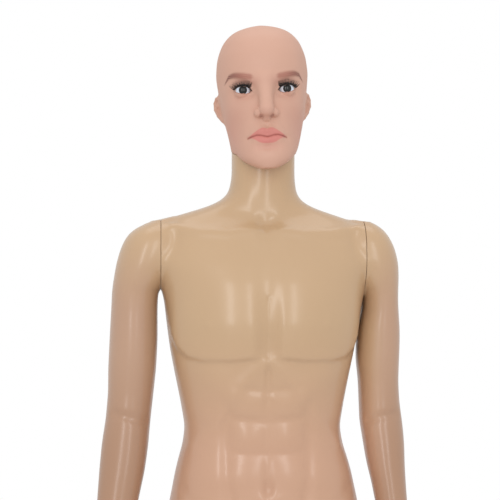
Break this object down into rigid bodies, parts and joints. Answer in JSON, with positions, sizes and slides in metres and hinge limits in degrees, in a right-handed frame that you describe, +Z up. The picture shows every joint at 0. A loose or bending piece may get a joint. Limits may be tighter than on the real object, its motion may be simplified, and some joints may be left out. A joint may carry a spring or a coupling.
{
  "type": "display mannequin",
  "caption": "Standing full-size male display mannequin with a turning head, arms and hands, on a square base with a hidden leg rod.",
  "frame": {"origin": "middle of the base's underside, at floor level", "axes": "+Z up the figure, -Y the way the chest faces, +X to the figure's left"},
  "size_m": [0.5448, 0.38, 1.851],
  "materials": {
    "body_shell": "glossy",
    "face": "matte paint",
    "joint_plate": "moulded",
    "steel": "satin",
    "mat": "matte",
    "eye": "polished",
    "lash": "fibre"
  },
  "bodies": {
    "figure": {"torso_shell": "body_shell", "neck_socket": "joint_plate", "left_shoulder_socket": "joint_plate", "right_shoulder_socket": "joint_plate", "left_hip_socket": "joint_plate", "right_hip_socket": "joint_plate", "left_leg_plug": "joint_plate", "right_leg_plug": "joint_plate", "left_leg_shell": "body_shell", "right_leg_shell": "body_shell", "base_plate": "steel", "base_mat": "mat", "support_rod": "steel", "rod_screw": "steel", "rod_tube": "joint_plate"},
    "head": {"head_shell": "face", "head_peg": "joint_plate", "head_peg_screws": "steel", "left_eye": "eye", "right_eye": "eye", "left_eyelash": "lash", "right_eyelash": "lash"},
    "left_arm": {"left_arm_shell": "body_shell", "left_arm_plate": "joint_plate", "left_wrist_socket": "joint_plate", "left_shoulder_pin": "steel", "left_shoulder_screws": "steel"},
    "left_hand": {"left_hand": "body_shell", "left_hand_peg": "steel"},
    "right_arm": {"right_arm_shell": "body_shell", "right_arm_plate": "joint_plate", "right_wrist_socket": "joint_plate", "right_shoulder_pin": "steel", "right_shoulder_screws": "steel"},
    "right_hand": {"right_hand": "body_shell", "right_hand_peg": "steel"}
  },
  "joints": [
    {"name": "head_turn", "type": "hinge", "parent": "figure", "child": "head", "pos_m": [0, 0.069, 1.641], "axis": [0, -0.2079, 0.9781], "continuous": true},
    {"name": "left_arm_turn", "type": "hinge", "parent": "figure", "child": "left_arm", "pos_m": [0.1635, 0.069, 1.47], "axis": [1, 0, 0], "continuous": true},
    {"name": "right_arm_turn", "type": "hinge", "parent": "figure", "child": "right_arm", "pos_m": [-0.169, 0.069, 1.47], "axis": [1, 0, 0], "continuous": true},
    {"name": "left_hand_turn", "type": "hinge", "parent": "left_arm", "child": "left_hand", "pos_m": [0.2175, 0, 0.95], "axis": [0.0964, -0.2488, -0.9638], "continuous": true},
    {"name": "right_hand_turn", "type": "hinge", "parent": "right_arm", "child": "right_hand", "pos_m": [-0.252, 0, 0.95], "axis": [-0.1157, -0.2391, -0.9641], "continuous": true}
  ]
}
